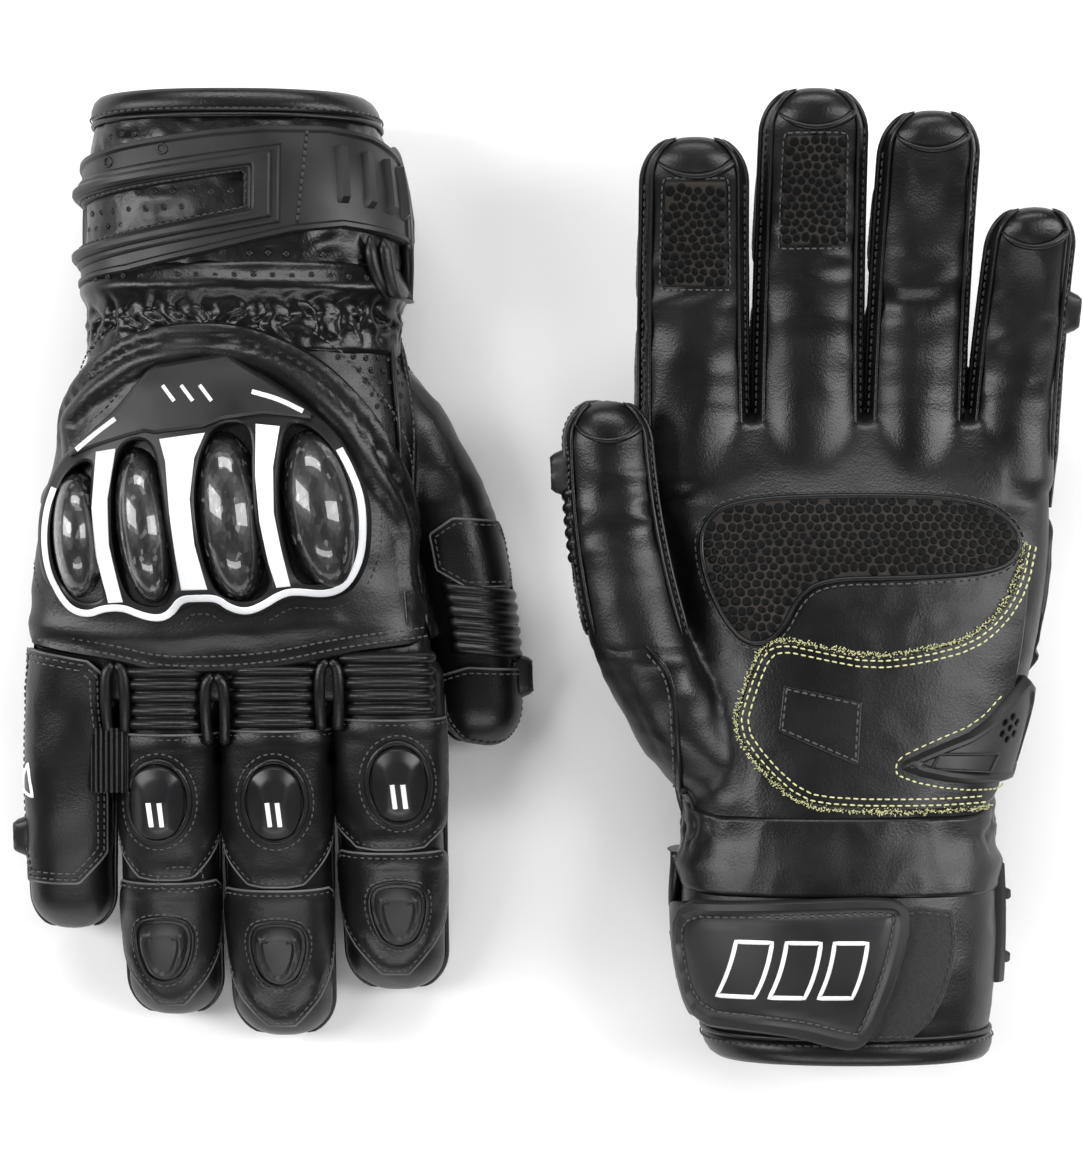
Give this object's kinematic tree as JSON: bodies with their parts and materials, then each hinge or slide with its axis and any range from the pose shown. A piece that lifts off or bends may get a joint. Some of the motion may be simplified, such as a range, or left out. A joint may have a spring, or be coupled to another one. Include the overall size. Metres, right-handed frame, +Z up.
{
  "type": "motorcycle gloves",
  "caption": "Pair of short-cuff leather motorcycle gloves with a moulded knuckle guard, sliders and a wrist strap, one palm up and one palm down.",
  "frame": {"origin": "middle of the pair's outline, on the surface that both gloves lie on", "axes": "+Z up; +X from the right glove (palm down) to the left glove (palm up); +Y away from the viewer, along the left glove from its cuff to its fingertips"},
  "size_m": [0.2912, 0.26, 0.07],
  "materials": {
    "leather": "satin grained",
    "elastic": "soft gathered",
    "rubber": "matte moulded",
    "carbon": "gloss lacquer",
    "grip": "pebbled matte",
    "hook_loop": "fuzzy",
    "hard_plastic": "polished"
  },
  "bodies": {
    "left_hand": {"left_palm_shell": "leather", "left_back_shell": "leather", "left_knuckle_guard": "rubber", "left_carbon_knuckles": "carbon", "left_palm_slider": "rubber", "left_palm_grip_patch": "grip", "left_wrist_gusset": "elastic"},
    "left_cuff": {"left_cuff_shell": "leather", "left_cuff_guard": "rubber", "left_loop_patch": "hook_loop"},
    "left_strap": {"left_strap": "rubber"},
    "left_index_proximal": {"left_index_proximal": "leather", "left_index_knuckle_slider": "hard_plastic"},
    "left_index_distal": {"left_index_distal": "leather", "left_index_tip_slider": "rubber"},
    "left_middle_proximal": {"left_middle_proximal": "leather", "left_middle_knuckle_slider": "hard_plastic"},
    "left_middle_distal": {"left_middle_distal": "leather", "left_middle_tip_slider": "rubber"},
    "left_ring_pinky_proximal": {"left_ring_proximal": "leather", "left_ring_knuckle_slider": "hard_plastic", "left_pinky_proximal": "leather", "left_finger_bridge": "leather"},
    "left_ring_distal": {"left_ring_distal": "leather", "left_ring_tip_slider": "rubber"},
    "left_pinky_distal": {"left_pinky_distal": "leather", "left_pinky_slider": "rubber"},
    "left_thumb_proximal": {"left_thumb_proximal": "leather"},
    "left_thumb_distal": {"left_thumb_distal": "leather", "left_thumb_slider": "rubber"},
    "right_hand": {"right_palm_shell": "leather", "right_back_shell": "leather", "right_knuckle_guard": "rubber", "right_carbon_knuckles": "carbon", "right_palm_slider": "rubber", "right_palm_grip_patch": "grip", "right_wrist_gusset": "elastic"},
    "right_cuff": {"right_cuff_shell": "leather", "right_cuff_guard": "rubber", "right_loop_patch": "hook_loop"},
    "right_strap": {"right_strap": "rubber"},
    "right_index_proximal": {"right_index_proximal": "leather", "right_index_knuckle_slider": "hard_plastic"},
    "right_index_distal": {"right_index_distal": "leather", "right_index_tip_slider": "rubber"},
    "right_middle_proximal": {"right_middle_proximal": "leather", "right_middle_knuckle_slider": "hard_plastic"},
    "right_middle_distal": {"right_middle_distal": "leather", "right_middle_tip_slider": "rubber"},
    "right_ring_pinky_proximal": {"right_ring_proximal": "leather", "right_ring_knuckle_slider": "hard_plastic", "right_pinky_proximal": "leather", "right_finger_bridge": "leather"},
    "right_ring_distal": {"right_ring_distal": "leather", "right_ring_tip_slider": "rubber"},
    "right_pinky_distal": {"right_pinky_distal": "leather", "right_pinky_slider": "rubber"},
    "right_thumb_proximal": {"right_thumb_proximal": "leather"},
    "right_thumb_distal": {"right_thumb_distal": "leather", "right_thumb_slider": "rubber"}
  },
  "joints": [
    {"name": "right_glove_lift", "type": "slide", "parent": "left_hand", "child": "right_hand", "axis": [0, 0, 1], "range_m": [0, 0.12]},
    {"name": "left_wrist_bend", "type": "hinge", "parent": "left_hand", "child": "left_cuff", "pos_m": [0.0815, -0.07, 0.035], "axis": [1, 0, 0], "range_deg": [-18, 18], "stiffness_Nm_per_rad": 2, "deforming": ["left_wrist_gusset"]},
    {"name": "left_strap_opening", "type": "hinge", "parent": "left_cuff", "child": "left_strap", "pos_m": [0.0367, -0.105, 0.041], "axis": [0, -1, 0], "range_deg": [0, 110]},
    {"name": "left_index_knuckle", "type": "hinge", "parent": "left_hand", "child": "left_index_proximal", "pos_m": [0.042, 0.028, 0.043], "axis": [1, 0, 0], "range_deg": [0, 45], "stiffness_Nm_per_rad": 0.1, "springref_deg": -17.19},
    {"name": "left_index_middle_joint", "type": "hinge", "parent": "left_index_proximal", "child": "left_index_distal", "pos_m": [0.04134, 0.073, 0.05003], "axis": [1, 0, 0], "range_deg": [0, 65], "stiffness_Nm_per_rad": 0.1, "springref_deg": -17.19},
    {"name": "left_middle_knuckle", "type": "hinge", "parent": "left_hand", "child": "left_middle_proximal", "pos_m": [0.0729, 0.028, 0.043], "axis": [1, 0, 0], "range_deg": [0, 60], "stiffness_Nm_per_rad": 0.1, "springref_deg": -17.19},
    {"name": "left_middle_middle_joint", "type": "hinge", "parent": "left_middle_proximal", "child": "left_middle_distal", "pos_m": [0.0728, 0.081, 0.05042], "axis": [1, 0, 0], "range_deg": [0, 75], "stiffness_Nm_per_rad": 0.1, "springref_deg": -17.19},
    {"name": "left_ring_pinky_knuckle", "type": "hinge", "parent": "left_hand", "child": "left_ring_pinky_proximal", "pos_m": [0.1154, 0.028, 0.043], "axis": [1, 0, 0], "range_deg": [0, 60], "stiffness_Nm_per_rad": 0.2, "springref_deg": -17.19},
    {"name": "left_ring_middle_joint", "type": "hinge", "parent": "left_ring_pinky_proximal", "child": "left_ring_distal", "pos_m": [0.10282, 0.077, 0.05016], "axis": [1, 0, 0], "range_deg": [0, 75], "stiffness_Nm_per_rad": 0.1, "springref_deg": -17.19},
    {"name": "left_pinky_middle_joint", "type": "hinge", "parent": "left_ring_pinky_proximal", "child": "left_pinky_distal", "pos_m": [0.13007, 0.062, 0.04804], "axis": [1, 0, 0], "range_deg": [0, 75], "stiffness_Nm_per_rad": 0.1, "springref_deg": -17.19},
    {"name": "left_thumb_base", "type": "hinge", "parent": "left_hand", "child": "left_thumb_proximal", "pos_m": [0.03266, -0.0195, 0.05866], "axis": [0.7071, 0, -0.7071], "range_deg": [0, 34], "stiffness_Nm_per_rad": 0.1, "springref_deg": -17.19},
    {"name": "left_thumb_tip_joint", "type": "hinge", "parent": "left_thumb_proximal", "child": "left_thumb_distal", "pos_m": [0.02536, 0.015, 0.06027], "axis": [0.7071, 0, -0.7071], "range_deg": [0, 34], "stiffness_Nm_per_rad": 0.1, "springref_deg": -17.19},
    {"name": "right_wrist_bend", "type": "hinge", "parent": "right_hand", "child": "right_cuff", "pos_m": [-0.0815, 0.07, 0.035], "axis": [1, 0, 0], "range_deg": [-18, 18], "stiffness_Nm_per_rad": 2, "deforming": ["right_wrist_gusset"]},
    {"name": "right_strap_opening", "type": "hinge", "parent": "right_cuff", "child": "right_strap", "pos_m": [-0.0367, 0.105, 0.029], "axis": [0, -1, 0], "range_deg": [0, 110]},
    {"name": "right_index_knuckle", "type": "hinge", "parent": "right_hand", "child": "right_index_proximal", "pos_m": [-0.042, -0.028, 0.027], "axis": [1, 0, 0], "range_deg": [0, 45], "stiffness_Nm_per_rad": 0.1, "springref_deg": -17.19},
    {"name": "right_index_middle_joint", "type": "hinge", "parent": "right_index_proximal", "child": "right_index_distal", "pos_m": [-0.04134, -0.073, 0.01997], "axis": [1, 0, 0], "range_deg": [0, 65], "stiffness_Nm_per_rad": 0.1, "springref_deg": -17.19},
    {"name": "right_middle_knuckle", "type": "hinge", "parent": "right_hand", "child": "right_middle_proximal", "pos_m": [-0.0729, -0.028, 0.027], "axis": [1, 0, 0], "range_deg": [0, 60], "stiffness_Nm_per_rad": 0.1, "springref_deg": -17.19},
    {"name": "right_middle_middle_joint", "type": "hinge", "parent": "right_middle_proximal", "child": "right_middle_distal", "pos_m": [-0.0728, -0.081, 0.01957], "axis": [1, 0, 0], "range_deg": [0, 75], "stiffness_Nm_per_rad": 0.1, "springref_deg": -17.19},
    {"name": "right_ring_pinky_knuckle", "type": "hinge", "parent": "right_hand", "child": "right_ring_pinky_proximal", "pos_m": [-0.1154, -0.028, 0.027], "axis": [1, 0, 0], "range_deg": [0, 60], "stiffness_Nm_per_rad": 0.2, "springref_deg": -17.19},
    {"name": "right_ring_middle_joint", "type": "hinge", "parent": "right_ring_pinky_proximal", "child": "right_ring_distal", "pos_m": [-0.10282, -0.077, 0.01984], "axis": [1, 0, 0], "range_deg": [0, 75], "stiffness_Nm_per_rad": 0.1, "springref_deg": -17.19},
    {"name": "right_pinky_middle_joint", "type": "hinge", "parent": "right_ring_pinky_proximal", "child": "right_pinky_distal", "pos_m": [-0.13007, -0.062, 0.02195], "axis": [1, 0, 0], "range_deg": [0, 75], "stiffness_Nm_per_rad": 0.1, "springref_deg": -17.19},
    {"name": "right_thumb_base", "type": "hinge", "parent": "right_hand", "child": "right_thumb_proximal", "pos_m": [-0.03266, 0.0195, 0.01134], "axis": [0.7071, 0, -0.7071], "range_deg": [0, 34], "stiffness_Nm_per_rad": 0.1, "springref_deg": -17.19},
    {"name": "right_thumb_tip_joint", "type": "hinge", "parent": "right_thumb_proximal", "child": "right_thumb_distal", "pos_m": [-0.02536, -0.015, 0.00973], "axis": [0.7071, 0, -0.7071], "range_deg": [0, 34], "stiffness_Nm_per_rad": 0.1, "springref_deg": -17.19}
  ]
}
